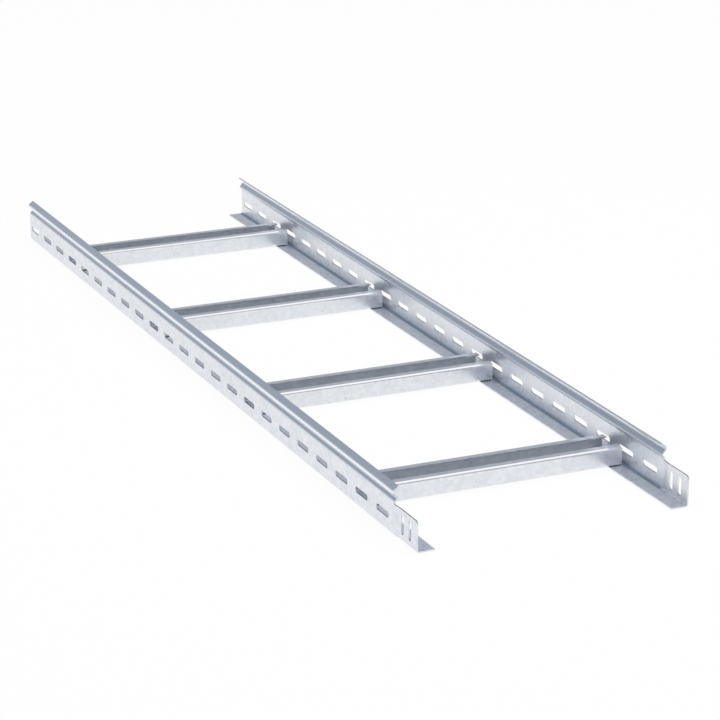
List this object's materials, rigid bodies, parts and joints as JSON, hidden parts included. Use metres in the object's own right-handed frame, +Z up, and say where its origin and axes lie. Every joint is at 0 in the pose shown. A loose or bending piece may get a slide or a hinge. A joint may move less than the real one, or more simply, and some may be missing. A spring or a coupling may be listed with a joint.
{
  "type": "cable ladder section",
  "caption": "Straight galvanised cable ladder: slotted side rails with a folded top bead and stepped connector end, tied by open C-profile rungs.",
  "frame": {"origin": "middle of the ladder's length and width, at the underside of the side rails", "axes": "+X along the ladder towards the connector end, +Y across it towards the right rail, +Z up towards the open side of the rungs"},
  "size_m": [1.2, 0.3066, 0.052],
  "materials": {
    "rail_zinc": "hot-dip galvanised sheet steel, pale blue-grey with a fine spangle, satin",
    "rung_zinc": "hot-dip galvanised sheet steel, pale grey, satin"
  },
  "bodies": {
    "root": {"side_rail_left": "rail_zinc", "side_rail_right": "rail_zinc", "rung_1": "rung_zinc", "rung_2": "rung_zinc", "rung_3": "rung_zinc", "rung_4": "rung_zinc"}
  },
  "joints": []
}
